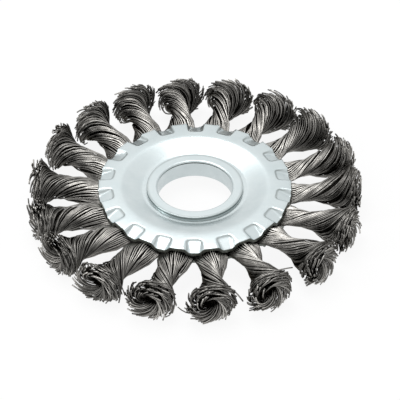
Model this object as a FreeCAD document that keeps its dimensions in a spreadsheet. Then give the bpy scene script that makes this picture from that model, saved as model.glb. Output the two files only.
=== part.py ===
import FreeCAD, Part
import math
import os

import Sketcher

# Twist-knot wire wheel brush for a small grinder.
# Millimetres and degrees, origin in the middle of the bore, +Z along the spindle.
# Bundles of steel wire are folded through the holes of a ring and twisted into knots.
# Two stamped side plates grip the knots, and a flanged eyelet rivets the stack and lines the bore.
# The radii add up outwards from the bore: eyelet, flange, flat seat, dish, shoulder, knots.

# Driving sizes: alias, value, what it sizes
SIZES = (
    ("bore_diameter", 22.2, "bore of the eyelet"),
    ("eyelet_wall", 0.74, "wall of the eyelet's tube"),
    ("eyelet_fit", 0.03, "gap between the tube and what it passes through"),
    ("flange_width", 2.36, "raised land that the clamp nut presses on, outside the tube"),
    ("flange_thickness", 1.3, "height of the raised land over the plate"),
    ("lip_radius", 0.6, "rolled edge at both ends of the bore"),
    ("sheet_thickness", 1.0, "steel sheet of the side plates"),
    ("seat_margin", 1.3, "flat of the plate outside the raised land"),
    ("dish_run", 6.0, "width of the dished slope"),
    ("dish_rise", 2.1, "height of the shoulder over the flat seat"),
    ("shoulder_width", 6.9, "level band from the dish to the rim"),
    ("rim_roll", 1.2, "width of the rolled-over rim"),
    ("rim_drop", 0.4, "how far the rim rolls down"),
    ("bend_radius", 1.6, "bends at both ends of the slope"),
    ("press_length", 4.6, "pressed pad, from the rim inwards"),
    ("press_width", 4.4, "floor of a pressed pad, along the rim"),
    ("press_start_depth", 0.25, "depth of a pad's floor at its inner end"),
    ("press_depth", 2.0, "depth of a pad's floor at the rim"),
    ("press_wall", 0.6, "metal beside a pad's floor"),
    ("press_corner", 1.3, "corner radius of a pad's floor"),
    ("press_taper", 28.0, "lean of a pad's walls"),
    ("ring_thickness", 1.4, "holding ring between the plates"),
    ("ring_setback", 4.4, "from the plates' rim in to the ring's edge"),
    ("ring_web", 1.8, "metal between the ring's edge and its holes"),
    ("hole_diameter", 4.4, "hole that one knot passes through"),
    ("knot_count", 18, "knots round the wheel"),
    ("knot_phase", 19.4, "polar angle of the first knot"),
    ("knot_reach", 20.0, "from the plates' rim out to the crowns of the knots' heads"),
    ("wire_clearance", 0.06, "gap between a bundle and the metal round it"),
    ("knot_spacing", 0.5, "gap between two bundles at the rim"),
    ("root_bulge", 0.25, "how far a bundle swells up just outside the plates"),
    ("root_length", 2.0, "how far a bundle keeps its width outside the plates"),
    ("root_pinch", 0.6, "how much thinner a bundle is at its sides, just outside the plates"),
    ("neck_width", 7.7, "wide way across a knot's oval neck"),
    ("neck_thickness", 5.8, "narrow way across the neck"),
    ("neck_distance", 7.0, "from the rim to the neck"),
    ("head_gap", 2.0, "gap between the heads of two upright knots at their widest"),
    ("flare_growth", 1.8, "how late a knot flares to its head, as a power of the distance"),
    ("head_length", 2.9, "domed end of the head, from its widest place to its crown"),
    ("crown_diameter", 8.5, "crown of the dome, which stands furthest out"),
    ("hollow_diameter", 2.5, "throat of the hollow in the middle of the head"),
    ("hollow_depth", 4.8, "from the crown in to that throat"),
    ("knot_turns", 0.62, "turns of the left-handed twist, from the rim to the crown"),
    ("twist_growth", 1.35, "how the twist quickens outwards, as a power of the distance"),
    ("head_swirl", 1.0, "how far the wires' ends wind out over the dome, as a spiral's slope"),
    ("leg_swell", 0.12, "how far the two twisted legs stand out at the neck"),
    ("leg_swell_at_head", 0.03, "the same at the head"),
    ("strand_swell", 0.05, "how far the strands stand out of the grooves at the neck"),
    ("strand_swell_at_head", 0.035, "the same at the head"),
)

# Each knot counter-clockwise from the first: sideways lean of its head, extra reach
KNOTS = (
    (-0.2, 0.3), (-0.6, 0.0), (-2.5, -0.6), (-3.3, -0.3), (-4.5, -0.6), (-6.2, -0.3),
    (-7.0, -0.7), (-8.0, -0.6), (-5.8, -0.6), (-4.8, -0.4), (-5.7, 0.1), (-5.6, 0.5),
    (-5.4, 0.5), (-4.2, 0.6), (-2.9, 0.4), (-0.3, 0.3), (0.5, 0.3), (1.8, -0.2),
)

# Radii that follow from the driving sizes, as expressions with the sheet's names in braces
BORE = "({bore_diameter} / 2)"
TUBE = "(" + BORE + " + {eyelet_wall})"
PASSAGE = "(" + TUBE + " + {eyelet_fit})"
FLANGE = "(" + TUBE + " + {flange_width})"
SEAT_EDGE = "(" + FLANGE + " + {seat_margin})"
CREST = "(" + SEAT_EDGE + " + {dish_run})"
RIM = "(" + CREST + " + {shoulder_width})"
PRESS_START = "(" + RIM + " - {press_length})"
RING_EDGE = "(" + RIM + " - {ring_setback})"
HOLE_CIRCLE = "(" + RING_EDGE + " - {ring_web} - {hole_diameter} / 2)"

# Heights over the middle plane, of the front half
PLATE_UNDERSIDE = "({ring_thickness} / 2)"
SEAT = "(" + PLATE_UNDERSIDE + " + {sheet_thickness})"
LAND = "(" + SEAT + " + {flange_thickness})"
SHOULDER = "(" + SEAT + " + {dish_rise})"

SHEET = "Sizes"
FULL_TURN = 360.0

# Points round a bundle, three to each quarter
ROUND_POINTS = 12

# Rings of points from the rim to the head's widest place, over its dome and into its hollow
TWIST_RINGS = 12
DOME_RINGS = 3
HOLLOW_RINGS = 2


def make_sheet(document):
    """Write the driving sizes into a spreadsheet, one row for each."""
    sheet = document.addObject("Spreadsheet::Sheet", SHEET)
    rows = list(SIZES)
    for number, (lean, extra) in enumerate(KNOTS, start=1):
        rows.append(("knot_lean_%02d" % number, lean, "sideways lean of this knot's head"))
        rows.append(("knot_extra_%02d" % number, extra, "how much further out this knot reaches"))
    for row, (alias, value, note) in enumerate(rows, start=1):
        sheet.set("A%d" % row, note)
        sheet.set("B%d" % row, str(value))
        sheet.setAlias("B%d" % row, alias)
    document.recompute()
    return sheet


def bound(text):
    """Turn names in braces into references to the sheet's cells."""
    return text.replace("{", SHEET + ".").replace("}", "")


def value_of(item, text):
    """Work out an expression on the sheet."""
    return item.evalExpression(bound(text))


def origin_item(body, role):
    """One of the body's own origin planes or axes."""
    return next(item for item in body.Origin.OriginFeatures if item.Role == role)


def add_sketch(body, name, role):
    """Add a sketch on one of the body's own origin planes."""
    sketch = body.newObject("Sketcher::SketchObject", name)
    sketch.AttachmentSupport = [(origin_item(body, role), "")]
    sketch.MapMode = "FlatFace"
    return sketch


def point_of(sketch, pair):
    """Work out a point from a pair of expressions."""
    across, up = [value_of(sketch, text) for text in pair]
    return FreeCAD.Vector(across, up, 0)


def clockwise_arc(centre, start, end):
    """Arc that runs clockwise from start to end; it is stored from end to start."""
    opening = end - centre
    closing = start - centre
    circle = Part.Circle(centre, FreeCAD.Vector(0, 0, 1), closing.Length)
    first = math.atan2(opening.y, opening.x)
    last = math.atan2(closing.y, closing.x)
    return Part.ArcOfCircle(circle, first, last)


def bind_distance(sketch, kind, index, vertex, text):
    """Tie one coordinate of a vertex to an expression."""
    value = value_of(sketch, text)
    number = sketch.addConstraint(Sketcher.Constraint(kind, -1, 1, index, vertex, value))
    sketch.setExpression("Constraints[%d]" % number, bound(text))


def draw_outline(sketch, corners, arc_centres=None):
    """Draw a closed outline through corners given as pairs of expressions.

    arc_centres maps a corner's index to the centre of the clockwise arc that
    leaves it, as a pair of expressions. Straight lines leave the other corners.
    """
    arc_centres = arc_centres or {}
    places = [point_of(sketch, corner) for corner in corners]
    count = len(places)
    for index, start in enumerate(places):
        end = places[(index + 1) % count]
        if index in arc_centres:
            centre = point_of(sketch, arc_centres[index])
            sketch.addGeometry(clockwise_arc(centre, start, end), False)
        else:
            sketch.addGeometry(Part.LineSegment(start, end), False)
    for index in range(count):
        following = (index + 1) % count
        leaving = 1 if index in arc_centres else 2
        arriving = 2 if following in arc_centres else 1
        join = Sketcher.Constraint("Coincident", index, leaving, following, arriving)
        sketch.addConstraint(join)
    for index, corner in enumerate(corners):
        vertex = 2 if index in arc_centres else 1
        bind_distance(sketch, "DistanceX", index, vertex, corner[0])
        bind_distance(sketch, "DistanceY", index, vertex, corner[1])
    for index, centre in arc_centres.items():
        bind_distance(sketch, "DistanceX", index, 3, centre[0])


def draw_circle(sketch, radius, across=None):
    """Draw a circle about the origin, or at a distance along the horizontal axis."""
    where = value_of(sketch, across) if across else 0
    size = value_of(sketch, radius)
    centre = FreeCAD.Vector(where, 0, 0)
    index = sketch.addGeometry(Part.Circle(centre, FreeCAD.Vector(0, 0, 1), size), False)
    number = sketch.addConstraint(Sketcher.Constraint("Radius", index, size))
    sketch.setExpression("Constraints[%d]" % number, bound(radius))
    if across is None:
        sketch.addConstraint(Sketcher.Constraint("Coincident", index, 3, -1, 1))
        return
    sketch.addConstraint(Sketcher.Constraint("PointOnObject", index, 3, -1))
    bind_distance(sketch, "DistanceX", index, 3, across)


def revolve(body, name, sketch):
    """Turn the sketch once round the spindle's axis."""
    feature = body.newObject("PartDesign::Revolution", name)
    feature.Profile = sketch
    feature.ReferenceAxis = (sketch, ["V_Axis"])
    feature.Angle = FULL_TURN
    return feature


def round_circles(body, base, name, radius, circles):
    """Round the circular edges of base that have one of the radii and heights in circles."""
    body.Document.recompute()
    places = [[value_of(body, text) for text in circle] for circle in circles]
    names = []
    for index, edge in enumerate(base.Shape.Edges, start=1):
        if edge.Curve.TypeId != "Part::GeomCircle":
            continue
        for across, up in places:
            same_radius = abs(edge.Curve.Radius - across) < Part.Precision.confusion()
            same_height = abs(edge.Curve.Center.z - up) < Part.Precision.confusion()
            if same_radius and same_height:
                names.append("Edge%d" % index)
    fillet = body.newObject("PartDesign::Fillet", name)
    fillet.Base = (base, names)
    fillet.setExpression("Radius", bound(radius))
    body.Tip = fillet
    return fillet


def repeat_round(body, name, features):
    """Repeat features round the spindle's axis, once for each knot."""
    pattern = body.newObject("PartDesign::PolarPattern", name)
    pattern.Originals = features
    pattern.Axis = (origin_item(body, "Z_Axis"), [""])
    pattern.Angle = FULL_TURN
    pattern.setExpression("Occurrences", bound("{knot_count}"))
    body.Tip = pattern
    return pattern


def check_cut(before, cut):
    """Stop if a cut takes nothing away."""
    cut.Document.recompute()
    if cut.Shape.Volume >= before.Shape.Volume:
        raise RuntimeError("%s cuts nothing" % cut.Label)


def make_eyelet(document):
    """Flanged tube that lines the bore and rivets the plates together."""
    body = document.addObject("PartDesign::Body", "bore_eyelet")
    sketch = add_sketch(body, "eyelet_section", "XZ_Plane")
    draw_outline(sketch, (
        (BORE, "-" + LAND),
        (FLANGE, "-" + LAND),
        (FLANGE, "-" + SEAT),
        (TUBE, "-" + SEAT),
        (TUBE, SEAT),
        (FLANGE, SEAT),
        (FLANGE, LAND),
        (BORE, LAND),
    ))
    turned = revolve(body, "eyelet_turned", sketch)
    lips = ((BORE, LAND), (BORE, "-" + LAND))
    round_circles(body, turned, "eyelet_lips", "{lip_radius}", lips)
    return body


def make_ring(document):
    """Flat ring with a hole for each knot."""
    body = document.addObject("PartDesign::Body", "holding_ring")
    sketch = add_sketch(body, "ring_outline", "XY_Plane")
    draw_circle(sketch, RING_EDGE)
    draw_circle(sketch, PASSAGE)
    disc = body.newObject("PartDesign::Pad", "ring_disc")
    disc.Profile = sketch
    disc.Midplane = True
    disc.setExpression("Length", bound("{ring_thickness}"))
    hole_sketch = add_sketch(body, "hole_outline", "XY_Plane")
    draw_circle(hole_sketch, "{hole_diameter} / 2", HOLE_CIRCLE)
    hole = body.newObject("PartDesign::Pocket", "knot_hole")
    hole.Profile = hole_sketch
    hole.Midplane = True
    hole.Type = "ThroughAll"
    check_cut(disc, hole)
    repeat_round(body, "knot_holes", [hole])
    body.setExpression("Placement.Rotation.Angle", bound("{knot_phase}"))
    return body


def make_plate(document, name):
    """Dished side plate with a pad pressed down between each two knots."""
    body = document.addObject("PartDesign::Body", name)
    outer = (
        (PASSAGE, SEAT),
        (SEAT_EDGE, SEAT),
        (CREST, SHOULDER),
        ("(" + RIM + " - {rim_roll})", SHOULDER),
        (RIM, "(" + SHOULDER + " - {rim_drop})"),
    )
    inner = tuple((across, "(" + up + " - {sheet_thickness})") for across, up in reversed(outer))
    sketch = add_sketch(body, name + "_section", "XZ_Plane")
    draw_outline(sketch, outer + inner)
    dish = revolve(body, name + "_dish", sketch)
    bends = ((SEAT_EDGE, SEAT), (CREST, SHOULDER))
    round_circles(body, dish, name + "_bends", "{bend_radius}", bends)
    backing = back_press(body, name)
    hollow = sink_press(body, name)
    check_cut(backing, hollow)
    repeat_round(body, name + "_presses", [backing, hollow])
    return body


def back_press(body, name):
    """Metal under one pad, which joins its floor to the shoulder round it."""
    start_floor = "(" + SHOULDER + " - {press_start_depth} - {sheet_thickness})"
    rim_floor = "(" + SHOULDER + " - {press_depth} - {sheet_thickness})"
    middle = "(" + SHOULDER + " - {sheet_thickness} / 2)"
    sketch = add_sketch(body, name + "_press_backing_section", "XZ_Plane")
    draw_outline(sketch, (
        (PRESS_START + " - {press_wall}", start_floor),
        (PRESS_START, start_floor),
        (RIM, rim_floor),
        (RIM, middle + " - {rim_drop}"),
        (RIM + " - {rim_roll}", middle),
        (PRESS_START + " - {press_wall}", middle),
    ))
    backing = body.newObject("PartDesign::Pad", name + "_press_backing")
    backing.Profile = sketch
    backing.Midplane = True
    backing.setExpression("Length", bound("{press_width} + 2 * {press_wall}"))
    return backing


def sink_press(body, name):
    """Cut over one pad's sloping floor, with leaning walls and round inner corners."""
    half = "{press_width} / 2"
    corner = "{press_corner}"
    inset = "(" + half + " - " + corner + ")"
    beyond = "({press_length} + {rim_roll})"
    slope = "atan(({press_depth} - {press_start_depth}) / {press_length})"
    sketch = add_sketch(body, name + "_press_floor", "XY_Plane")
    sketch.AttachmentOffset.Rotation.Axis = FreeCAD.Vector(0, 1, 0)
    sketch.setExpression("AttachmentOffset.Base.x", bound(PRESS_START))
    sketch.setExpression("AttachmentOffset.Base.z", bound(SHOULDER + " - {press_start_depth}"))
    sketch.setExpression("AttachmentOffset.Rotation.Angle", bound(slope))
    draw_outline(sketch, (
        ("0", inset),
        (corner, half),
        (beyond, half),
        (beyond, "-" + half),
        (corner, "-" + half),
        ("0", "-" + inset),
    ), {
        0: (corner, inset),
        4: (corner, "-" + inset),
    })
    hollow = body.newObject("PartDesign::Pocket", name + "_press_hollow")
    hollow.Profile = sketch
    hollow.Reversed = True
    hollow.setExpression("Length", bound("{dish_rise} + {press_depth}"))
    hollow.setExpression("TaperAngle", bound("{press_taper}"))
    return hollow


def build_plates(document, sheet):
    """Front plate, and the same stamping turned over for the rear."""
    half_pitch = FULL_TURN / sheet.knot_count / 2
    turn = FreeCAD.Rotation(FreeCAD.Vector(0, 0, 1), sheet.knot_phase + half_pitch)
    flip = FreeCAD.Rotation(FreeCAD.Vector(1, 0, 0), FULL_TURN / 2)
    front = make_plate(document, "front_plate")
    front.Placement = FreeCAD.Placement(FreeCAD.Vector(), turn)
    rear = make_plate(document, "rear_plate")
    rear.Placement = FreeCAD.Placement(FreeCAD.Vector(), turn * flip)
    return [front, rear]


def blend(first, second, share):
    """Ease from one value to another without a kink at either end."""
    eased = share * share * (3 - 2 * share)
    return first + (second - first) * eased


class Knot:
    """One wire bundle, modelled along +X and then turned to its place."""

    def __init__(self, sheet, lean, extra):
        self.sheet = sheet
        self.rim = value_of(sheet, RIM)
        self.reach = sheet.knot_reach + extra
        self.tip = self.rim + self.reach
        self.press_start = value_of(sheet, PRESS_START)
        self.ring_edge = value_of(sheet, RING_EDGE)
        self.ceiling = value_of(sheet, SHOULDER + " - {sheet_thickness} - {wire_clearance}")
        self.half_pitch = math.radians(FULL_TURN / sheet.knot_count / 2)
        self.widest = self.reach - sheet.head_length
        self.head_radius = self.half_spread(self.rim + self.widest) - sheet.head_gap / 2
        self.shift = self.tip * math.tan(math.radians(lean))

    def centre(self, reach):
        """Middle of the bundle at a distance from the spindle's axis."""
        share = max(0.0, (reach - self.rim) / self.reach)
        return FreeCAD.Vector(reach, self.shift * share, 0)

    def ring(self, reach, offsets):
        """Points of one cross-section, from its sideways and upward offsets."""
        middle = self.centre(reach)
        return [middle + FreeCAD.Vector(0, side, up) for side, up in offsets]

    def arch_height(self, reach):
        """Height left for the wires under the arch between two pads."""
        sheet = self.sheet
        roll = max(0.0, (reach - self.rim + sheet.rim_roll) / sheet.rim_roll)
        return self.ceiling - sheet.rim_drop * roll

    def pinch_height(self, reach):
        """Height left for the wires under a pressed pad."""
        sheet = self.sheet
        share = (reach - self.press_start) / (self.rim - self.press_start)
        deepening = (sheet.press_depth - sheet.press_start_depth) * share
        return self.ceiling - sheet.press_start_depth - deepening

    def half_spread(self, reach):
        """Half of the room that one bundle has between its neighbours."""
        return reach * math.sin(self.half_pitch)

    def gripped_offsets(self, reach):
        """Cross-section between the plates: full under the arch, pinched under the pads."""
        sheet = self.sheet
        spread = self.half_spread(reach)
        width = spread - sheet.knot_spacing / 2
        shoulder = spread - sheet.press_width / 2 - sheet.press_wall - sheet.wire_clearance
        arch = self.arch_height(reach)
        pinch = self.pinch_height(reach)
        quarter = [(width, 0.0), (shoulder, pinch), (shoulder, arch)]
        return mirror_quarter(quarter, (0.0, arch))

    def half_sizes(self, height):
        """Half width and half thickness of the bundle at a height over the rim."""
        sheet = self.sheet
        neck = (sheet.neck_width / 2, sheet.neck_thickness / 2)
        head = (self.head_radius, self.head_radius)
        if height > sheet.neck_distance:
            share = (height - sheet.neck_distance) / (self.widest - sheet.neck_distance)
            grown = min(1.0, share) ** sheet.flare_growth
            return [first + (second - first) * grown for first, second in zip(neck, head)]
        width = self.half_spread(self.rim) - sheet.knot_spacing / 2
        root = (width, self.arch_height(self.rim) + sheet.root_bulge)
        share = (height - sheet.root_length) / (sheet.neck_distance - sheet.root_length)
        return [blend(*pair, max(0.0, share)) for pair in zip(root, neck)]

    def swells(self, height):
        """How far the legs and the strands stand out at a height over the rim."""
        sheet = self.sheet
        necked = min(1.0, height / sheet.neck_distance)
        run = self.widest - sheet.neck_distance
        flared = min(1.0, max(0.0, height - sheet.neck_distance) / run)
        legs = blend(sheet.leg_swell, sheet.leg_swell_at_head, flared)
        strands = blend(sheet.strand_swell, sheet.strand_swell_at_head, flared)
        return blend(0, legs, necked), blend(0, strands, necked)

    def twist(self, height):
        """Left-handed turn of the bundle from the rim to a height over it."""
        share = height / self.reach
        return -2 * math.pi * self.sheet.knot_turns * share ** self.sheet.twist_growth

    def twisted_offsets(self, height, factor=1.0):
        """Cross-section outside the plates; factor makes it smaller over the dome."""
        sheet = self.sheet
        across, up = self.half_sizes(height)
        legs, strands = self.swells(height)
        pinch = sheet.root_pinch * (1 - min(1.0, height / sheet.neck_distance))
        turn = self.twist(min(height, self.widest)) - sheet.head_swirl * math.log(factor)
        offsets = []
        for index in range(ROUND_POINTS):
            angle = 2 * math.pi * index / ROUND_POINTS
            leg = 1 - legs * (1 - math.cos(2 * angle)) / 2
            groove = 1 - 2 * strands * (index % 2)
            size = factor * leg * groove
            side = size * across * math.cos(angle)
            rise = size * up * math.sin(angle) * (1 - pinch * abs(math.cos(angle)))
            seen = math.atan2(rise, side) + turn
            radius = math.hypot(side, rise)
            offsets.append((radius * math.cos(seen), radius * math.sin(seen)))
        return offsets

    def twisted_ring(self, height, factor=1.0):
        """Points of one cross-section outside the plates."""
        return self.ring(self.rim + height, self.twisted_offsets(height, factor))

    def head_rings(self):
        """Cross-sections over the head's dome and down its hollow."""
        sheet = self.sheet
        crown = sheet.crown_diameter / 2 / self.head_radius
        throat = sheet.hollow_diameter / 2 / self.head_radius
        rings = []
        for number in range(1, DOME_RINGS + 1):
            sweep = math.pi / 2 * number / DOME_RINGS
            height = self.widest + sheet.head_length * math.sin(sweep)
            factor = crown + (1 - crown) * math.cos(sweep)
            rings.append(self.twisted_ring(height, factor))
        for number in range(1, HOLLOW_RINGS + 1):
            sweep = math.pi / 2 * number / HOLLOW_RINGS
            height = self.reach - sheet.hollow_depth * (1 - math.cos(sweep))
            factor = crown + (throat - crown) * math.sin(sweep)
            rings.append(self.twisted_ring(height, factor))
        return rings

    def rings(self):
        """All cross-sections from the holding ring to the throat of the head's hollow."""
        start = self.ring_edge + self.sheet.wire_clearance
        rings = [
            self.ring(reach, self.gripped_offsets(reach))
            for reach in (start, (start + self.rim) / 2, self.rim)
        ]
        for number in range(1, TWIST_RINGS + 1):
            rings.append(self.twisted_ring(self.widest * number / TWIST_RINGS))
        return rings + self.head_rings()

    def bundle(self):
        """Closed solid from the holding ring's edge to the head."""
        rings = self.rings()
        floor = self.tip - self.sheet.hollow_depth - self.sheet.hollow_diameter / 2
        faces = cap_faces(rings[0], self.centre(rings[0][0].x), True)
        for lower, upper in zip(rings, rings[1:]):
            faces += band_faces(lower, upper)
        faces += cap_faces(rings[-1], self.centre(floor), False)
        return Part.Solid(Part.Shell(faces))

    def fold(self):
        """Legs above and below the holding ring, joined through its hole."""
        sheet = self.sheet
        gap = sheet.wire_clearance
        circle = value_of(sheet, HOLE_CIRCLE)
        crest = value_of(sheet, CREST)
        underside = value_of(sheet, PLATE_UNDERSIDE)
        slope = sheet.dish_rise / sheet.dish_run
        half_width = sheet.hole_diameter / 2 - gap
        inner = circle - half_width
        outer = self.ring_edge + 2 * gap
        web = underside + gap
        low = underside + slope * (inner - value_of(sheet, SEAT_EDGE)) - 2 * gap
        section = [
            (inner, web),
            (outer, web),
            (outer, self.pinch_height(outer)),
            (crest, self.ceiling - gap),
            (inner, low),
        ]
        legs = []
        for side in (1, -1):
            corners = [FreeCAD.Vector(across, -half_width, side * up) for across, up in section]
            face = Part.Face(Part.makePolygon(corners + corners[:1]))
            legs.append(face.extrude(FreeCAD.Vector(0, 2 * half_width, 0)))
        edge = []
        for index in range(ROUND_POINTS):
            angle = 2 * math.pi * index / ROUND_POINTS
            across = circle + half_width * math.cos(angle)
            edge.append(FreeCAD.Vector(across, half_width * math.sin(angle), -web))
        core = Part.Face(Part.makePolygon(edge + edge[:1]))
        return legs + [core.extrude(FreeCAD.Vector(0, 0, 2 * web))]

    def shape(self):
        """The whole knot as one solid."""
        return self.bundle().fuse(self.fold()).removeSplitter()


def mirror_quarter(quarter, top):
    """Complete a cross-section from its first quarter, counter-clockwise."""
    upper = quarter + [top] + [(-side, up) for side, up in reversed(quarter[1:])]
    return upper + [(-side, -up) for side, up in upper]


def triangle(first, second, third):
    """One flat face."""
    return Part.Face(Part.makePolygon([first, second, third, first]))


def band_faces(lower, upper):
    """Triangles between two rings with the same number of points."""
    faces = []
    for index, point in enumerate(lower):
        following = (index + 1) % len(lower)
        faces.append(triangle(point, lower[following], upper[following]))
        faces.append(triangle(point, upper[following], upper[index]))
    return faces


def cap_faces(ring, middle, inward):
    """Triangles that close a ring at a middle point."""
    faces = []
    for index, point in enumerate(ring):
        following = ring[(index + 1) % len(ring)]
        if inward:
            faces.append(triangle(following, point, middle))
        else:
            faces.append(triangle(point, following, middle))
    return faces


def build_knots(document, sheet):
    """One knot through each hole of the ring."""
    knots = []
    for index in range(int(sheet.knot_count)):
        number = index % len(KNOTS) + 1
        lean = sheet.getPropertyByName("knot_lean_%02d" % number)
        extra = sheet.getPropertyByName("knot_extra_%02d" % number)
        feature = document.addObject("Part::Feature", "knot_%02d" % (index + 1))
        feature.Shape = Knot(sheet, lean, extra).shape()
        angle = sheet.knot_phase + index * FULL_TURN / sheet.knot_count
        turn = FreeCAD.Rotation(FreeCAD.Vector(0, 0, 1), angle)
        feature.Placement = FreeCAD.Placement(FreeCAD.Vector(), turn)
        knots.append(feature)
    return knots


def check(document, parts):
    """Stop before anything is written if an object failed or a shape is unsound."""
    for item in document.Objects:
        if "Invalid" in item.State or "Error" in item.State:
            raise RuntimeError("%s failed: %s" % (item.Name, item.State))
    for item in parts:
        if item.Shape.isNull() or not item.Shape.isValid() or item.Shape.Volume <= 0:
            raise RuntimeError("%s has no sound shape" % item.Label)


def write_parts(parts):
    """Write each sub-part's shape to a file named after it."""
    os.makedirs("parts", exist_ok=True)
    for item in parts:
        item.Shape.exportStep("parts/%s.step" % item.Label)
        print(item.Label, len(item.Shape.Faces), "faces", round(item.Shape.Volume, 1), "mm3")


def main():
    """Build the wheel and write its parts."""
    document = FreeCAD.newDocument("wire_wheel_brush")
    sheet = make_sheet(document)
    parts = [make_eyelet(document), make_ring(document)]
    parts += build_plates(document, sheet)
    parts += build_knots(document, sheet)
    document.recompute()
    check(document, parts)
    write_parts(parts)


main()
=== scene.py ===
import logging
import math
import random
from dataclasses import dataclass
from enum import Enum

import bmesh
import bpy
from mathutils import Matrix, Vector


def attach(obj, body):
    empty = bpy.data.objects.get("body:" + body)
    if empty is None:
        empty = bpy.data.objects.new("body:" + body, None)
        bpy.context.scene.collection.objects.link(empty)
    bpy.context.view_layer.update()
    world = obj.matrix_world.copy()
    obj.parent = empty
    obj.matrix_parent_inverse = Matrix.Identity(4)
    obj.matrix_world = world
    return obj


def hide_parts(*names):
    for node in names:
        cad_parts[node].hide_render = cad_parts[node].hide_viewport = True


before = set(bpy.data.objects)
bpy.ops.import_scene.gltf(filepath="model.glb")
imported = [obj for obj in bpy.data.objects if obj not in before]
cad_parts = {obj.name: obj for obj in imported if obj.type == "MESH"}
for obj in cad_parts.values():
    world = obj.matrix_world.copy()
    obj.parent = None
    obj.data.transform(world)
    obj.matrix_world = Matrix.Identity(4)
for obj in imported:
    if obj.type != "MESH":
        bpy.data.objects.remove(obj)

MM = 0.001
"""Length of a millimetre in the scene's metres."""

SAME_POINT = 0.001
"""Points of a turned section that lie closer than this, in millimetres, are one."""

"""Where the sizes of the solids and of the dressed wheel are written."""

log = logging.getLogger("wheel_brush")


class Side(Enum):
    """The two faces of the wheel."""

    FRONT = "front"
    REAR = "rear"


class Slot(Enum):
    """Names of the record's material slots for the pieces that are built here; nothing in this
    script uses them.
    """

    PLATE = "plate"
    EYELET = "eyelet"
    WIRE = "wire"


def linear_colour(code: str) -> tuple[float, float, float, float]:
    """Turn an sRGB hex colour into linear values.

    Args:
        code: six hex digits, such as "C6D3D5".

    Returns:
        Linear red, green, blue and an alpha of one.
    """
    channels = [int(code[start:start + 2], 16) / 255 for start in (0, 2, 4)]
    linear = [
        value / 12.92 if value <= 0.04045 else ((value + 0.055) / 1.055) ** 2.4
        for value in channels
    ]
    return (linear[0], linear[1], linear[2], 1.0)


def add_node(
    tree: bpy.types.NodeTree,
    kind: str,
    settings: dict | None = None,
    inputs: dict | None = None,
) -> bpy.types.Node:
    """Add one node with its settings, input values and links.

    Args:
        tree: the node tree that takes the node.
        kind: Blender's name of the node type.
        settings: attributes to set on the node.
        inputs: input name or number to a value, or to the output socket to link.

    Returns:
        The new node.
    """
    node = tree.nodes.new(kind)
    for name, value in (settings or {}).items():
        setattr(node, name, value)
    for name, value in (inputs or {}).items():
        if isinstance(value, bpy.types.NodeSocket):
            tree.links.new(value, node.inputs[name])
        else:
            node.inputs[name].default_value = value
    return node


def new_material(name: str) -> tuple[bpy.types.Material, bpy.types.NodeTree, bpy.types.Node]:
    """Start an empty node material.

    Args:
        name: the finish's name.

    Returns:
        The material, its node tree and its output node.
    """
    material = bpy.data.materials.new(name)
    material.use_nodes = True
    tree = material.node_tree
    tree.nodes.clear()
    return material, tree, add_node(tree, "ShaderNodeOutputMaterial")


def add_noise(
    tree: bpy.types.NodeTree,
    place: bpy.types.NodeSocket,
    size: float,
    detail: float,
    contrast: float = 0.5,
) -> bpy.types.NodeSocket:
    """Add a noise.

    Args:
        tree: the node tree that takes the node.
        place: the coordinates.
        size: width of its largest spots, in the coordinates' unit.
        detail: number of finer layers.
        contrast: strength of the finer layers.

    Returns:
        The socket that gives the noise, from 0 to 1.
    """
    return add_node(tree, "ShaderNodeTexNoise", {}, {
        "Vector": place, "Scale": 1 / size, "Detail": detail, "Roughness": contrast,
    }).outputs["Fac"]


def blend_colours(
    tree: bpy.types.NodeTree,
    share: bpy.types.NodeSocket,
    first: str | bpy.types.NodeSocket,
    second: str,
) -> bpy.types.NodeSocket:
    """Blend two colours.

    Args:
        tree: the node tree that takes the node.
        share: how much of the second colour shows.
        first: hex digits of a colour, or the socket that gives it.
        second: hex digits of a colour.

    Returns:
        The socket that gives the blend.
    """
    start = linear_colour(first) if isinstance(first, str) else first
    return add_node(tree, "ShaderNodeMix", {"data_type": "RGBA"}, {
        "Factor": share, "A": start, "B": linear_colour(second),
    }).outputs["Result"]


def finish_metal(tree: bpy.types.NodeTree, output: bpy.types.Node, inputs: dict) -> None:
    """Link a metal shader with these inputs to a material's output."""
    shader = add_node(tree, "ShaderNodeBsdfPrincipled", {}, {"Metallic": 1.0, **inputs})
    tree.links.new(shader.outputs["BSDF"], output.inputs["Surface"])


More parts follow.
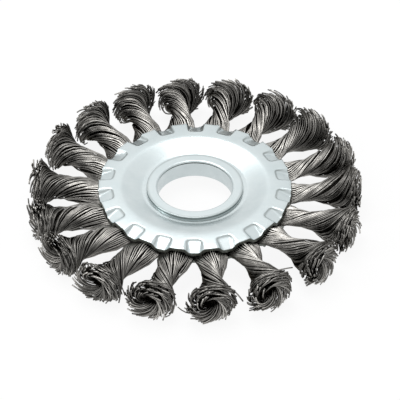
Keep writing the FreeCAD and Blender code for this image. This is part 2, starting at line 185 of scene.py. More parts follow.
@dataclass(frozen=True)
class ZincPlate:
    """Bright zinc plating on pressed sheet steel.

    The thin passivated zinc gives a satin, slightly blue grey with soft clouds of
    brighter and duller plating and a very fine grain from the rolled sheet. Along the
    pads' pressed outlines and on the eyelet's groove, gap, collar and flange edge a
    darker colour is blended in: painted shade.
    """

    name: str = "zinc_plated_steel"
    bright: str = "D9E1E2"
    dull: str = "BEC9CB"
    painted_shade: str = "50564F"
    roughness: float = 0.25
    roughness_spread: float = 0.12
    cloud_mm: float = 5.0
    cloud_detail: float = 3.0
    cloud_contrast: float = 0.55
    grain_mm: float = 0.35
    grain_detail: float = 2.0
    grain_contrast: float = 0.6
    grain_depth_mm: float = 0.006
    grain_strength: float = 0.6

    SHADE_MASK = "painted_shade_mask"

    def build(self) -> bpy.types.Material:
        """Build the material.

        Returns:
            The finished material.
        """
        material, tree, output = new_material(self.name)
        place = add_node(tree, "ShaderNodeTexCoord").outputs["Object"]
        cloud = add_noise(tree, place, self.cloud_mm * MM, self.cloud_detail, self.cloud_contrast)
        grain = add_noise(tree, place, self.grain_mm * MM, self.grain_detail, self.grain_contrast)
        tint = blend_colours(tree, cloud, self.dull, self.bright)
        # painted shade: a darker colour blended in along the pads' outlines and on the eyelet's
        # groove, gap, collar and flange edge
        shade_amount = add_node(tree, "ShaderNodeAttribute", {"attribute_name": self.SHADE_MASK})
        shaded_tint = blend_colours(tree, shade_amount.outputs["Fac"], tint, self.painted_shade)
        shine = add_node(tree, "ShaderNodeMapRange", {}, {
            "Value": cloud,
            "To Min": self.roughness + self.roughness_spread,
            "To Max": self.roughness,
        })
        bump = add_node(tree, "ShaderNodeBump", {}, {
            "Height": grain,
            "Distance": self.grain_depth_mm * MM,
            "Strength": self.grain_strength,
        })
        finish_metal(tree, output, {
            "Base Color": shaded_tint,
            "Roughness": shine.outputs["Result"],
            "Normal": bump.outputs["Normal"],
        })
        return material


@dataclass(frozen=True)
class ShearedSteel:
    """Bare edge of sheet steel as the die cuts it.

    The cut is dark and matt beside the plating, with fine upright draw lines.
    """

    name: str = "sheared_steel_edge"
    light: str = "868A84"
    dark: str = "454843"
    roughness: float = 0.5
    line_mm: float = 0.25
    line_stretch: float = 6.0
    line_detail: float = 2.0

    def build(self) -> bpy.types.Material:
        """Build the material.

        Returns:
            The finished material.
        """
        material, tree, output = new_material(self.name)
        place = add_node(tree, "ShaderNodeTexCoord").outputs["Object"]
        scale = 1 / (self.line_mm * MM)
        mapped = add_node(tree, "ShaderNodeMapping", {}, {
            "Vector": place, "Scale": (scale, scale, scale / self.line_stretch),
        })
        lines = add_noise(tree, mapped.outputs["Vector"], 1.0, self.line_detail)
        tint = blend_colours(tree, lines, self.dark, self.light)
        finish_metal(tree, output, {"Base Color": tint, "Roughness": self.roughness})
        return material


@dataclass(frozen=True)
class DrawnWire:
    """Hard-drawn carbon steel wire.

    Drawing leaves a dark grey, slightly brown skin. Some wires are nearly black with
    oil and some are bare and bright, so neighbouring wires stand out from each other.
    The per-vertex shade that blends the dark and the light colour also carries painted
    light: a painted highlight beside the rim, and painted shade on the bundles' sides,
    on their inner layers and on the packed core.
    """

    name: str = "drawn_steel_wire"
    light: str = "F2EFE9"
    dark: str = "14120F"
    edge: str = "8C8B88"
    roughness: float = 0.28
    stain_mm: float = 3.0
    stain_detail: float = 3.0
    stain_range: tuple[float, float] = (0.3, 0.7)
    stain_least: float = 0.6
    stain_most: float = 1.25

    def build(self) -> bpy.types.Material:
        """Build the material.

        Returns:
            The finished material.
        """
        material, tree, output = new_material(self.name)
        place = add_node(tree, "ShaderNodeTexCoord").outputs["Object"]
        # per-vertex shade: each wire's random tone plus a painted highlight and painted shade
        shade = add_node(tree, "ShaderNodeAttribute", {"attribute_name": WireKnot.SHADE})
        stain = add_noise(tree, place, self.stain_mm * MM, self.stain_detail)
        clean = add_node(tree, "ShaderNodeMapRange", {}, {
            "Value": stain,
            "From Min": self.stain_range[0],
            "From Max": self.stain_range[1],
            "To Min": self.stain_least,
            "To Max": self.stain_most,
        })
        share = add_node(tree, "ShaderNodeMath", {"operation": "MULTIPLY", "use_clamp": True}, {
            0: shade.outputs["Fac"], 1: clean.outputs["Result"],
        })
        tint = blend_colours(tree, share.outputs["Value"], self.dark, self.light)
        finish_metal(tree, output, {
            "Base Color": tint,
            "Roughness": self.roughness,
            "Specular Tint": linear_colour(self.edge),
        })
        return material


def dress(piece: bpy.types.Object, *materials: bpy.types.Material) -> None:
    """Give a new piece its materials, in the order of its faces' material numbers."""
    for material in materials:
        piece.data.materials.append(material)


def finish_piece(
    name: str, mesh: bpy.types.Mesh, nodes: list[str]
) -> bpy.types.Object:
    """Make a piece of the wheel from its mesh.

    Args:
        name: the piece's name.
        mesh: the finished mesh, in the wheel's own place.
        nodes: the solids that the piece stands for.

    Returns:
        The piece.
    """
    piece = bpy.data.objects.new(name, mesh)
    bpy.context.scene.collection.objects.link(piece)
    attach(piece, "root")
    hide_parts(*nodes)
    log.info("%s: %d faces", name, len(mesh.polygons))
    return piece


def spin_profile(outline: list[tuple[float, float]], steps: int) -> bmesh.types.BMesh:
    """Turn a closed outline once round the Z axis.

    Args:
        outline: radius and height of each corner, in millimetres, in order.
        steps: how many steps make the full turn.

    Returns:
        A closed mesh whose faces point outwards.
    """
    work = bmesh.new()
    corners = [work.verts.new((radius * MM, 0, height * MM)) for radius, height in outline]
    edges = [work.edges.new(ends) for ends in zip(corners, corners[1:] + corners[:1])]
    bmesh.ops.spin(
        work, geom=corners + edges, cent=(0, 0, 0), axis=(0, 0, 1), dvec=(0, 0, 0),
        angle=2 * math.pi, steps=steps, use_merge=True, use_duplicate=False,
    )
    bmesh.ops.remove_doubles(work, verts=work.verts, dist=SAME_POINT * MM)
    bmesh.ops.recalc_face_normals(work, faces=work.faces)
    return work


def smooth_step(value: float) -> float:
    """Ease from 0 to 1 as value goes from 0 to 1."""
    share = min(1.0, max(0.0, value))
    return share * share * (3 - 2 * share)


def mix(first: float, second: float, share: float) -> float:
    """Value between two others."""
    return first + (second - first) * share


@dataclass
class SidePlate:
    """Dished side plate whose rim is pressed down between the knots, in millimetres."""

    side: Side
    hole_radius: float = 11.87
    base_ring_radius: float = 15.25
    base_ring_step: float = -0.06
    base_ring_run: float = 0.35
    seat_radius: float = 15.6
    crest_radius: float = 21.4
    rim_radius: float = 28.4
    seat_height: float = 1.92
    dish_rise: float = 1.88
    sheet: float = 1.0
    shoulder_drop: float = 0.4
    shoulder_power: float = 1.6
    rim_roll: float = 1.0
    rim_roll_drop: float = 0.14
    bend_softness: float = 0.7
    press_start: float = 24.3
    press_half_width: float = 2.15
    press_corner: float = 0.9
    press_start_depth: float = 0.35
    press_depth: float = 2.0
    wall_at_start: float = 0.25
    wall_at_rim: float = 1.0
    inner_widening: float = 1 / 3
    # painted shade along the pads' outlines: its width, strength and fade towards the rim
    crease_shade_width: float = 0.3
    crease_shade_most: float = 0.75
    crease_shade_fade: float = 0.5
    edge_round: float = 0.16
    edge_steps: int = 2
    rim_tolerance: float = 0.01
    knot_count: int = 18
    first_press: float = 29.4
    steps_per_press: int = 28
    radial_step: float = 0.3

    def sheet_height(self, radius: float) -> float:
        """Height of the dished sheet's outer face before its pads are pressed.

        Args:
            radius: distance from the wheel's axis.

        Returns:
            The height in millimetres.
        """
        slope = (self.dish_rise - self.base_ring_step) / (self.crest_radius - self.seat_radius)
        rise = self.soft_ramp(radius - self.seat_radius)
        rise -= self.soft_ramp(radius - self.crest_radius)
        ring = smooth_step(0.5 + (radius - self.base_ring_radius) / self.base_ring_run)
        shoulder = max(0.0, radius - self.crest_radius) / (self.rim_radius - self.crest_radius)
        roll = max(0.0, radius - self.rim_radius + self.rim_roll) / self.rim_roll
        height = self.seat_height + self.base_ring_step * ring + slope * rise
        height -= self.shoulder_drop * shoulder ** self.shoulder_power
        return height - self.rim_roll_drop * roll * roll

    def soft_ramp(self, distance: float) -> float:
        """Distance past a bend, with the bend rounded."""
        return (distance + math.hypot(distance, self.bend_softness)) / 2

    def press_distance(self, radius: float, angle: float) -> tuple[float, float]:
        """Where a point lies against the nearest pad.

        Args:
            radius: distance from the wheel's axis.
            angle: polar angle in radians.

        Returns:
            Distance outside the pad's outline, negative inside it, and the share of
            the way from the pad's inner end to the rim.
        """
        pitch = 2 * math.pi / self.knot_count
        offset = (angle - math.radians(self.first_press) + pitch / 2) % pitch - pitch / 2
        along = radius * math.cos(offset)
        across = abs(radius * math.sin(offset))
        past_end = self.press_start + self.press_corner - along
        past_side = across - self.press_half_width + self.press_corner
        outside = math.hypot(max(0.0, past_end), max(0.0, past_side))
        outside += min(0.0, max(past_end, past_side))
        share = (along - self.press_start) / (self.rim_radius - self.press_start)
        return outside - self.press_corner, share

    def pressed_height(self, radius: float, angle: float, widen: float) -> float:
        """Height of the outer face with its pads pressed down.

        Args:
            radius: distance from the wheel's axis.
            angle: polar angle in radians.
            widen: how much wider the pad is taken, for the sheet's inner face.

        Returns:
            The height in millimetres.
        """
        free = self.sheet_height(radius)
        outside, share = self.press_distance(radius, angle)
        wall = mix(self.wall_at_start, self.wall_at_rim, min(1.0, max(0.0, share)))
        inside = smooth_step(0.5 - (outside - widen) / (2 * wall))
        depth = mix(self.press_start_depth, self.press_depth, share)
        floor = self.seat_height + self.dish_rise - depth
        return mix(free, min(free, floor), inside)

    def painted_shade(self, radius: float, angle: float) -> float:
        """How much painted shade darkens the colour along a pad's outline.

        Args:
            radius: distance from the wheel's axis.
            angle: polar angle in radians.

        Returns:
            Nought for the plain plating colour and up to one for the darkest painted shade.
        """
        outside, share = self.press_distance(radius, angle)
        near = 1 - smooth_step(abs(outside) / self.crease_shade_width)
        return self.crease_shade_most * near * (1 - self.crease_shade_fade * min(1.0, max(0.0, share)))

    def outline(self) -> list[tuple[float, float]]:
        """Closed section of the sheet before its pads are pressed.

        Returns:
            Radius and height of each corner: the outer face outwards, the inner one back.
        """
        count = round((self.rim_radius - self.hole_radius) / self.radial_step)
        radii = [
            mix(self.hole_radius, self.rim_radius, index / count) for index in range(count + 1)
        ]
        outer = [(radius, self.sheet_height(radius)) for radius in radii]
        inner = [(radius, height - self.sheet) for radius, height in reversed(outer)]
        return outer + inner

    def press(self, work: bmesh.types.BMesh) -> None:
        """Press the pads into the turned sheet.

        Args:
            work: the turned sheet.
        """
        for vertex in work.verts:
            radius = vertex.co.xy.length / MM
            angle = math.atan2(vertex.co.y, vertex.co.x)
            height = vertex.co.z / MM
            free = self.sheet_height(radius)
            is_outer = height > free - self.sheet / 2
            widen = 0.0 if is_outer else self.inner_widening
            pressed = self.pressed_height(radius, angle, widen)
            vertex.co.z = (pressed if is_outer else pressed - self.sheet) * MM

    def round_edges(self, work: bmesh.types.BMesh) -> None:
        """Round the sheared edges at the rim and number their faces' material.

        Args:
            work: the pressed sheet.
        """
        rim = self.rim_radius * MM
        near = self.rim_tolerance * MM
        edges = [
            edge for edge in work.edges
            if all(abs(vertex.co.xy.length - rim) < near for vertex in edge.verts)
            and abs(edge.verts[0].co.z - edge.verts[1].co.z) < self.sheet * MM / 2
        ]
        for face in work.faces:
            if all(abs(vertex.co.xy.length - rim) < near for vertex in face.verts):
                face.material_index = 1
        bmesh.ops.bevel(
            work, geom=edges, offset=self.edge_round * MM, offset_type="OFFSET", affect="EDGES",
            segments=self.edge_steps, profile=0.5, material=1, clamp_overlap=True,
        )

    def mark_painted_shade(self, mesh: bpy.types.Mesh) -> None:
        """Store the painted shade along the pads' outlines at each vertex.

        Args:
            mesh: the pressed plate.
        """
        attribute = mesh.attributes.new(ZincPlate.SHADE_MASK, "FLOAT", "POINT")
        for vertex, item in zip(mesh.vertices, attribute.data):
            angle = math.atan2(vertex.co.y, vertex.co.x)
            item.value = self.painted_shade(vertex.co.xy.length / MM, angle)

    def build(self, plating: bpy.types.Material, edge: bpy.types.Material) -> bpy.types.Object:
        """Build the plate.

        Args:
            plating: finish of the sheet.
            edge: finish of the sheared rim.

        Returns:
            The plate.
        """
        work = spin_profile(self.outline(), self.knot_count * self.steps_per_press)
        self.press(work)
        self.round_edges(work)
        if self.side is Side.REAR:
            bmesh.ops.transform(work, matrix=Matrix.Scale(-1, 4, (0, 0, 1)), verts=work.verts)
        bmesh.ops.recalc_face_normals(work, faces=work.faces)
        node = f"{self.side.value}_plate"
        mesh = bpy.data.meshes.new(node + "_pressed")
        work.to_mesh(mesh)
        work.free()
        mesh.shade_smooth()
        self.mark_painted_shade(mesh)
        piece = finish_piece(node + "_pressed", mesh, [node])
        dress(piece, plating, edge)
        return piece


@dataclass
class BoreEyelet:
    """Flanged tube that lines the bore, in millimetres.

    Its flanges are rolled over the plates, each on a low collar with a gap round
    it. A fine groove runs round the bore under the front lip. The groove, the gap, the
    collar below it and the flange's side, round and outer land edge above it are
    darkened in colour: painted shade.
    """

    bore_radius: float = 11.1
    tube_radius: float = 11.84
    flange_radius: float = 14.2
    land_height: float = 3.0
    seat_height: float = 1.92
    gap_height: float = 0.28
    gap_base: float = 0.42
    gap_depth: float = 0.15
    flat_margin: float = 0.06
    edge_shade_width: float = 0.8
    lip_radius: float = 0.5
    groove_width: float = 0.42
    groove_depth: float = 0.2
    # painted shade in the groove, the gap, on the collar and on the flange's side, round and outer
    # land edge
    groove_shade: float = 1.0
    gap_shade: float = 0.6
    collar_shade: float = 0.28
    edge_shade: float = 0.3
    tolerance: float = 0.01
    bore_margin: float = 0.05
    tube_margin: float = 0.3
    edge_round: float = 0.18
    sharp_angle: float = 40.0
    arc_steps: int = 6
    turn_steps: int = 180

    def outline(self) -> list[tuple[float, float]]:
        """Closed section: bore wall, rolled lips, lands and the tube's outside.

        Returns:
            Radius and height of each corner.
        """
        lip_end = self.land_height - self.lip_radius
        groove_end = lip_end - self.groove_width
        flank = self.groove_width / 4  # height of each sloping side of the groove
        gap_foot = self.seat_height + self.gap_base
        gap_top = gap_foot + self.gap_height
        upper = [
            (self.tube_radius, self.seat_height),
            (self.flange_radius, self.seat_height),
            (self.flange_radius, gap_foot),
            (self.flange_radius - self.gap_depth, gap_foot),
            (self.flange_radius - self.gap_depth, gap_top),
            (self.flange_radius, gap_top),
        ]
        upper += self.arc(self.flange_radius, self.edge_round, 0.0)
        upper += [
            (self.flange_radius - self.edge_round - self.flat_margin, self.land_height),
            (self.flange_radius - self.edge_shade_width, self.land_height),
            (self.bore_radius + self.lip_radius + self.flat_margin, self.land_height),
        ]
        upper += self.arc(self.bore_radius, self.lip_radius, math.pi / 2)
        lower = [(radius, -height) for radius, height in reversed(upper)]
        groove = [
            (self.bore_radius + self.groove_depth, lip_end - flank),
            (self.bore_radius + self.groove_depth, groove_end + flank),
            (self.bore_radius, groove_end),
        ]
        return upper + groove + lower

    def arc(self, edge: float, size: float, start: float) -> list[tuple[float, float]]:
        """Quarter round at the land's outer edge or at the bore's lip.

        Args:
            edge: radius of the edge before it is rounded.
            size: radius of the round.
            start: angle at which the quarter starts; it runs counter-clockwise.

        Returns:
            Radius and height of each point.
        """
        inwards = -1 if start == 0.0 else 1
        middle = (edge + inwards * size, self.land_height - size)
        points = []
        for index in range(self.arc_steps + 1):
            angle = start + math.pi / 2 * index / self.arc_steps
            points.append((middle[0] + size * math.cos(angle), middle[1] + size * math.sin(angle)))
        return points

    def mark_painted_shade(self, mesh: bpy.types.Mesh) -> None:
        """Store the painted shade at each vertex.

        Args:
            mesh: the turned eyelet.
        """
        attribute = mesh.attributes.new(ZincPlate.SHADE_MASK, "FLOAT", "POINT")
        for vertex, item in zip(mesh.vertices, attribute.data):
            item.value = self.darkness(vertex.co.xy.length / MM, abs(vertex.co.z) / MM)

    def darkness(self, radius: float, height: float) -> float:
        """How much painted shade darkens the plating's colour at a place of the section.

        Args:
            radius: distance from the wheel's axis.
            height: distance from the wheel's middle plane.

        Returns:
            Nought for the plain plating colour and up to one in the groove.
        """
        lip_end = self.land_height - self.lip_radius
        in_lip = self.bore_radius + self.bore_margin < radius < self.tube_radius - self.tube_margin
        if in_lip and lip_end - self.groove_width < height < lip_end:
            return self.groove_shade
        above_base = height - self.seat_height - self.gap_base
        if radius > self.tube_radius:
            if -self.tolerance < above_base < self.gap_height + self.tolerance:
                return self.gap_shade
            if above_base < -self.tolerance:
                return self.collar_shade
        # painted shade on the flange's side above the gap, its round and the land's outer edge
        if radius > self.flange_radius - self.edge_shade_width + self.tolerance:
            return self.edge_shade
        return 0.0

    def build(self, plating: bpy.types.Material) -> bpy.types.Object:
        """Build the eyelet and dress it.

        Args:
            plating: finish of the eyelet.

        Returns:
            The eyelet.
        """
        work = spin_profile(self.outline(), self.turn_steps)
        mesh = bpy.data.meshes.new("bore_eyelet_turned")
        work.to_mesh(mesh)
        work.free()
        mesh.shade_smooth()
        mesh.set_sharp_from_angle(angle=math.radians(self.sharp_angle))
        self.mark_painted_shade(mesh)
        piece = finish_piece("bore_eyelet_turned", mesh, ["bore_eyelet"])
        dress(piece, plating)
        return piece


@dataclass(frozen=True)
class WireLayer:
    """One layer of wires in a knot, and how bright it is in the bundle and at the head; the inner
    layers' darkness in the bundle is painted shade between the outer wires.
    """

    count: int
    depth: float
    brightness: float
    head_brightness: float


@dataclass
class WireKnot:
    """One bundle of wires, folded through the ring and twisted left-handed, in millimetres.

    Every wire runs up the twisted bundle and then bends outwards over the head, so
    that the end of the knot opens like a rose round a small hollow.
    """

    number: int
    root_angle: float
    lean: float
    extra_reach: float
    # the inner layers' low brightness in the bundle is painted shade between the outer wires
    layers: tuple[WireLayer, ...] = (
        WireLayer(count=45, depth=1.0, brightness=1.0, head_brightness=0.38),
        WireLayer(count=46, depth=0.8, brightness=0.05, head_brightness=0.52),
        WireLayer(count=36, depth=0.56, brightness=0.06, head_brightness=0.6),
        WireLayer(count=24, depth=0.28, brightness=0.08, head_brightness=0.75),
    )
    # the bundle, from the grip of the plates to the head
    wire_diameter: float = 0.41
    start_radius: float = 25.2
    rim_radius: float = 28.4
    tip_radius: float = 49.2
    grip_half_width: float = 4.7
    grip_half_height: float = 2.2
    root_half_height: float = 2.8
    root_pinch: float = 0.75
    root_length: float = 2.0
    neck_half_width: float = 3.8
    neck_half_height: float = 2.8
    neck_distance: float = 7.0
    flare_growth: float = 1.6
    head_radius: float = 6.3
    head_length: float = 3.6
    hollow_start: float = 16.2
    hollow_radius: float = 1.25
    hollow_most: float = 1.2
    hollow_power: float = 1.3
    leg_swell: float = 0.12
    strand_swell: float = 0.05
    strands: int = 7
    shaft_turns: float = 0.66
    twist_power: float = 1.35
    # the wires' bend over the head, in the bundle's middle and at its skin
    flare_start_core: float = 18.7
    flare_start_skin: float = 13.9
    flare_top_core: float = 21.1
    flare_top_skin: float = 17.6
    flare_end_core: float = 4.5
    flare_end_skin: float = 7.2
    flare_top_power: float = 1.3
    swirl_slope: float = 1.0
    swirl_start: float = 0.4
    flare_turn: float = 0.25
    # how single wires, tufts and strays differ from each other
    depth_spread: tuple[float, float] = (0.98, 1.01)
    start_spread: float = 0.25
    top_spread: float = 0.15
    end_spread: float = 0.35
    bend_spread: tuple[float, float] = (83, 98)
    swirl_spread: tuple[float, float] = (0.8, 1.2)
    turn_spread: float = 0.1
    place_spread: float = 0.1
    tuft_size: int = 3
    tuft_turn: float = 0.12
    tuft_length: float = 0.2
    stray_share: float = 0.04
    stray_length: tuple[float, float] = (0.8, 1.8)
    stray_swirl: float = 1.15
    # shades, from 0 for the darkest wire to 1 for the brightest; the roots take a painted
    # highlight, the sides and the packed core painted shade
    brightness_power: float = 1.65
    root_highlight_least: float = 0.95
    shaft_least: float = 0.1
    shaft_most: float = 0.42
    head_least: float = 0.32
    head_power: float = 0.38
    side_shade: float = 0.32
    core_painted_shade: float = 0.2
    # the head's flattening towards the front and the rear
    height_limit: float = 6.4
    height_limit_power: float = 6.0
    # the packed core; its cap gives shares of its depth and of the way to its top
    core_depth: float = 0.76
    core_top: float = 17.4
    core_cap: tuple[tuple[float, float], ...] = ((1.0, 0.5), (0.95, 0.85), (0.75, 1.0), (0.4, 1.0))
    core_middle: float = 0.15
    core_rows: int = 10
    core_steps: int = 24
    # the mesh and the random numbers
    shaft_points: int = 8
    flare_points: int = 8
    wire_sides: int = 4
    weld_distance: float = 0.0005
    seed: int = 7
    seed_step: int = 1000

    SHADE = "wire_tone_and_painted_light"

    @property
    def reach(self) -> float:
        """Length of the knot outside the rim."""
        return self.tip_radius + self.extra_reach - self.rim_radius

    def twist(self, height: float) -> float:
        """Angle turned between the rim and a height above it.

        Args:
            height: distance above the rim.

        Returns:
            The angle in radians.
        """
        share = max(0.0, height / self.reach)
        return 2 * math.pi * self.shaft_turns * share ** self.twist_power

    def half_sizes(self, height: float) -> tuple[float, float]:
        """Half width and half thickness of the bundle.

        Args:
            height: distance above the rim.

        Returns:
            Both halves in millimetres.
        """
        if height < self.root_length:
            eased = smooth_step(height / self.root_length)
            return self.grip_half_width, mix(self.grip_half_height, self.root_half_height, eased)
        head = self.reach - self.head_length
        if height < self.neck_distance:
            rise = (height - self.root_length) / (self.neck_distance - self.root_length)
            eased = smooth_step(rise)
            return (
                mix(self.grip_half_width, self.neck_half_width, eased),
                mix(self.root_half_height, self.neck_half_height, eased),
            )
        flared = min(1.0, (height - self.neck_distance) / (head - self.neck_distance))
        grown = flared ** self.flare_growth
        return (
            mix(self.neck_half_width, self.head_radius, grown),
            mix(self.neck_half_height, self.head_radius, grown),
        )

    def shaft_place(
        self, height: float, depth: float, angle: float, strand_phase: float
    ) -> tuple[float, float]:
        """Place of a wire across the twisted bundle.

        Args:
            height: distance above the rim.
            depth: 0 in the bundle's middle and 1 at its skin.
            angle: the wire's angle in the bundle before it is twisted.
            strand_phase: turns the grooves between the strands from knot to knot.

        Returns:
            Distance from the knot's middle line and the angle round it.
        """
        across, thick = self.half_sizes(height)
        neck = smooth_step(height / self.neck_distance)
        pinch = 1 - self.root_pinch * abs(math.cos(angle)) * (1 - neck)
        grooves = self.leg_swell * (1 - math.cos(2 * angle)) / 2
        grooves += self.strand_swell * (1 + math.cos(self.strands * angle + strand_phase))
        size = depth * (1 - grooves * neck)
        side = size * across * math.cos(angle)
        up = size * thick * math.sin(angle) * pinch
        opening = max(0.0, height - self.hollow_start) / (self.reach - self.hollow_start)
        hollow = self.hollow_radius * min(self.hollow_most, opening) ** self.hollow_power
        radius = hollow + math.hypot(side, up) * (1 - hollow / self.head_radius)
        return radius, math.atan2(up, side) - self.twist(height)

    def wire_path(
        self, layer: WireLayer, angle: float, tuft: tuple[float, float], strand_phase: float,
        chance: random.Random,
    ) -> list[Vector]:
        """Middle line of one wire.

        Args:
            layer: the layer the wire lies in.
            angle: the wire's angle in the bundle before it is twisted.
            tuft: how far the wire's tuft is turned and how much longer it is.
            strand_phase: the turn of the grooves in this knot.
            chance: the knot's own random numbers.

        Returns:
            Points in metres, in the wheel's frame.
        """
        depth = layer.depth * chance.uniform(*self.depth_spread)
        start = mix(self.flare_start_core, self.flare_start_skin, depth)
        start += chance.gauss(0, self.start_spread) + self.extra_reach
        top = mix(self.flare_top_core, self.flare_top_skin, depth ** self.flare_top_power)
        top += tuft[1] + chance.gauss(0, self.top_spread) + self.extra_reach
        end = mix(self.flare_end_core, self.flare_end_skin, depth)
        end += chance.gauss(0, self.end_spread)
        bend = math.radians(chance.uniform(*self.bend_spread))
        swirl = self.swirl_slope * chance.uniform(*self.swirl_spread)
        loose = chance.gauss(0, self.turn_spread)
        if chance.random() < self.stray_share:
            end += chance.uniform(*self.stray_length)
            swirl *= self.stray_swirl
        first = self.start_radius - self.rim_radius
        points = []
        for step in range(self.shaft_points):
            height = mix(first, start, step / self.shaft_points)
            turn = loose * smooth_step(height / self.neck_distance)
            radius, seen = self.shaft_place(height, depth, angle + turn, strand_phase)
            points.append(self.turned(height, radius, seen))
        for step in range(self.flare_points + 1):
            sweep = bend * step / self.flare_points
            height = start + (top - start) * math.sin(sweep)
            spread = 1 - math.cos(sweep)
            inner, seen = self.shaft_place(height, depth, angle + loose, strand_phase)
            radius = mix(inner, max(end, inner), spread)
            turn = swirl * math.log(radius / max(self.swirl_start, inner))
            turn += (self.flare_turn + tuft[0]) * spread
            points.append(self.turned(height, radius, seen - turn))
        return points

    def turned(self, height: float, radius: float, seen: float) -> Vector:
        """Point of the knot in the wheel's frame.

        Args:
            height: distance above the rim along the knot.
            radius: distance from the knot's middle line.
            seen: angle round the middle line, from the side towards the top.

        Returns:
            The point, in metres.
        """
        side = radius * math.cos(seen)
        up = radius * math.sin(seen)
        power = self.height_limit_power
        up /= (1 + abs(up / self.height_limit) ** power) ** (1 / power)
        shift = math.radians(self.lean) * self.tip_radius * max(0.0, height) / self.reach
        angle = math.radians(self.root_angle)
        along = Vector((math.cos(angle), math.sin(angle), 0))
        aside = Vector((-math.sin(angle), math.cos(angle), 0))
        place = along * (self.rim_radius + height) + aside * (side + shift)
        return (place + Vector((0, 0, up))) * MM

    def all_paths(self, chance: random.Random) -> tuple[list[list[Vector]], list[list[float]]]:
        """Middle lines and shades of all the knot's wires, layer by layer.

        Args:
            chance: the knot's own random numbers.

        Returns:
            The path of each wire, and its shade at each point of the path.
        """
        paths = []
        shades = []
        strand_phase = chance.uniform(0, 2 * math.pi)
        for layer in self.layers:
            stagger = chance.uniform(0, 2 * math.pi)
            tuft = (0.0, 0.0)
            for index in range(layer.count):
                if index % self.tuft_size == 0:
                    tuft = (chance.gauss(0, self.tuft_turn), chance.gauss(0, self.tuft_length))
                place = index + chance.uniform(-self.place_spread, self.place_spread)
                angle = stagger + 2 * math.pi * place / layer.count
                paths.append(self.wire_path(layer, angle, tuft, strand_phase, chance))
                bright = chance.random() ** self.brightness_power
                shades.append(self.shades_along(layer, bright, angle))
        return paths, shades

    def shades_along(self, layer: WireLayer, bright: float, angle: float) -> list[float]:
        """Shade at each point of a wire.

        Beside the rim the wires carry a painted highlight, and the sides that face the
        neighbouring knots carry painted shade; the layer's brightness adds painted shade
        to the inner layers in the bundle.

        Args:
            layer: the layer the wire lies in.
            bright: the wire's own brightness, from 0 to 1.
            angle: the wire's angle in the bundle before it is twisted.

        Returns:
            One shade for each point of the wire's path.
        """
        first = self.start_radius - self.rim_radius
        start = mix(self.flare_start_core, self.flare_start_skin, layer.depth)
        # painted highlight beside the rim
        root_highlight = mix(self.root_highlight_least, 1.0, bright)
        along = mix(self.shaft_least, self.shaft_most, bright)
        shades = []
        for step in range(self.shaft_points):
            share = step / self.shaft_points
            seen = self.shaft_place(mix(first, start, share), layer.depth, angle, 0.0)[1]
            # painted shade on the sides that face the neighbouring knots
            side_shading = mix(self.side_shade, 1.0, abs(math.sin(seen)))
            shades.append(layer.brightness * mix(root_highlight, along, share) * side_shading)
        closed_bright = side_shading * along * layer.brightness
        open_bright = mix(self.head_least, 1.0, bright) * layer.head_brightness
        for step in range(self.flare_points + 1):
            share = (step / self.flare_points) ** self.head_power
            shades.append(mix(closed_bright, open_bright, share))
        return shades

    def wire_mesh(self, name: str, paths: list[list[Vector]]) -> bpy.types.Mesh:
        """Sweep the wires' section along their paths.

        Args:
            name: the mesh's name.
            paths: middle line of each wire.

        Returns:
            The swept mesh, whose ends' caps are still loose.
        """
        curve = bpy.data.curves.new(name, "CURVE")
        curve.dimensions = "3D"
        curve.bevel_depth = self.wire_diameter / 2 * MM
        curve.bevel_resolution = self.wire_sides // 4 - 1
        curve.use_fill_caps = True
        for path in paths:
            spline = curve.splines.new("POLY")
            spline.points.add(len(path) - 1)
            spline.use_smooth = True
            for point, place in zip(spline.points, path):
                point.co = (*place, 1.0)
        holder = bpy.data.objects.new(name + "_paths", curve)
        mesh = bpy.data.meshes.new_from_object(holder)
        mesh.name = name
        bpy.data.objects.remove(holder)
        bpy.data.curves.remove(curve)
        return mesh

    def shade_wires(self, mesh: bpy.types.Mesh, shades: list[list[float]]) -> None:
        """Store the wires' shades on their vertices.

        The swept mesh has the ends' caps first, from the last wire to the first, and
        then the rings of each wire in order.

        Args:
            mesh: the swept mesh.
            shades: for each wire, its shade at each point of its path.
        """
        ring = self.wire_sides
        values = []
        for along in reversed(shades):
            values += [along[-1]] * ring + [along[0]] * ring
        for along in shades:
            for shade in along:
                values += [shade] * ring
        attribute = mesh.attributes.new(self.SHADE, "FLOAT", "POINT")
        attribute.data.foreach_set("value", values)

    def core_outline(self) -> list[tuple[float, float]]:
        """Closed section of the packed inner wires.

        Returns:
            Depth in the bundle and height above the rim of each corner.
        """
        first = self.start_radius - self.rim_radius
        straight = self.flare_start_skin
        side = [
            (self.core_depth, mix(first, straight, index / self.core_rows))
            for index in range(self.core_rows + 1)
        ]
        head = [
            (self.core_depth * depth, mix(straight, self.core_top, rise))
            for depth, rise in self.core_cap
        ]
        middle = (self.core_depth * self.core_middle, self.hollow_start)
        return [(0.0, first)] + side + head + [middle, (0.0, straight)]

    def add_core(self, work: bmesh.types.BMesh) -> None:
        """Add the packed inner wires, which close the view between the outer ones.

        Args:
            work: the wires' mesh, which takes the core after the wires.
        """
        core = spin_profile(self.core_outline(), self.core_steps)
        for vertex in core.verts:
            depth = vertex.co.xy.length / MM
            height = vertex.co.z / MM
            angle = math.atan2(vertex.co.y, vertex.co.x)
            radius, seen = self.shaft_place(height, depth, angle, 0.0)
            vertex.co = self.turned(height, radius, seen)
        mesh = bpy.data.meshes.new("packed_core")
        core.to_mesh(mesh)
        core.free()
        shade = work.verts.layers.float[self.SHADE]
        before = len(work.verts)
        work.from_mesh(mesh)
        for vertex in list(work.verts)[before:]:
            # the packed core is painted dark: painted shade inside the bundle
            vertex[shade] = self.core_painted_shade
        bpy.data.meshes.remove(mesh)

